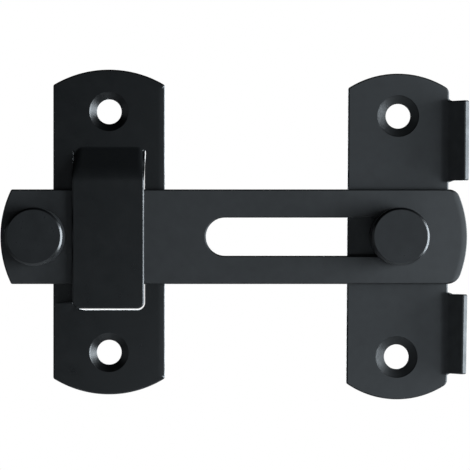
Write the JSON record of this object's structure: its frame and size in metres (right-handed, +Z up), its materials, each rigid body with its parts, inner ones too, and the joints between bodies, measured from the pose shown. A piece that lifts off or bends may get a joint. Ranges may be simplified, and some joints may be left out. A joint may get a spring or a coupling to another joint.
{
  "type": "flip latch",
  "caption": "Surface-mounted flip latch: a slotted sheet-steel bar with a round knob turns and slides on a headed pin in an eared plate and drops behind the lanced hook of a catch plate.",
  "frame": {"origin": "on the mounting plane, on the pivot pin's axis, which is also the centre of the pivot plate's two screw holes", "axes": "+X along the closed bar, from the knob to the pivot end; +Y into the door or wall, so the front faces -Y; +Z up"},
  "size_m": [0.093, 0.0104, 0.0659],
  "materials": {
    "plate_black": "matte black powder coat",
    "bar_black": "matte black powder coat",
    "rivet_black": "satin black coat on turned steel"
  },
  "bodies": {
    "door_plate": {"pivot_plate": "plate_black"},
    "pin": {"pivot_pin": "rivet_black"},
    "bar": {"slotted_bar": "bar_black", "knob": "rivet_black"},
    "keeper": {"catch_plate": "plate_black"}
  },
  "joints": [
    {"name": "bar_flip", "type": "hinge", "parent": "door_plate", "child": "pin", "pos_m": [0, -0.002, 0], "axis": [0, -1, 0], "range_deg": [-1.8, 90]},
    {"name": "bar_slide", "type": "slide", "parent": "pin", "child": "bar", "axis": [1, 0, 0], "range_m": [-0.0015, 0.0345]},
    {"name": "keeper_slide", "type": "slide", "parent": "door_plate", "child": "keeper", "axis": [1, 0, 0], "range_m": [-0.0015, 0.0345]}
  ],
  "couplings": [
    {"joint": "keeper_slide", "follows": "bar_slide", "ratio": 1}
  ]
}
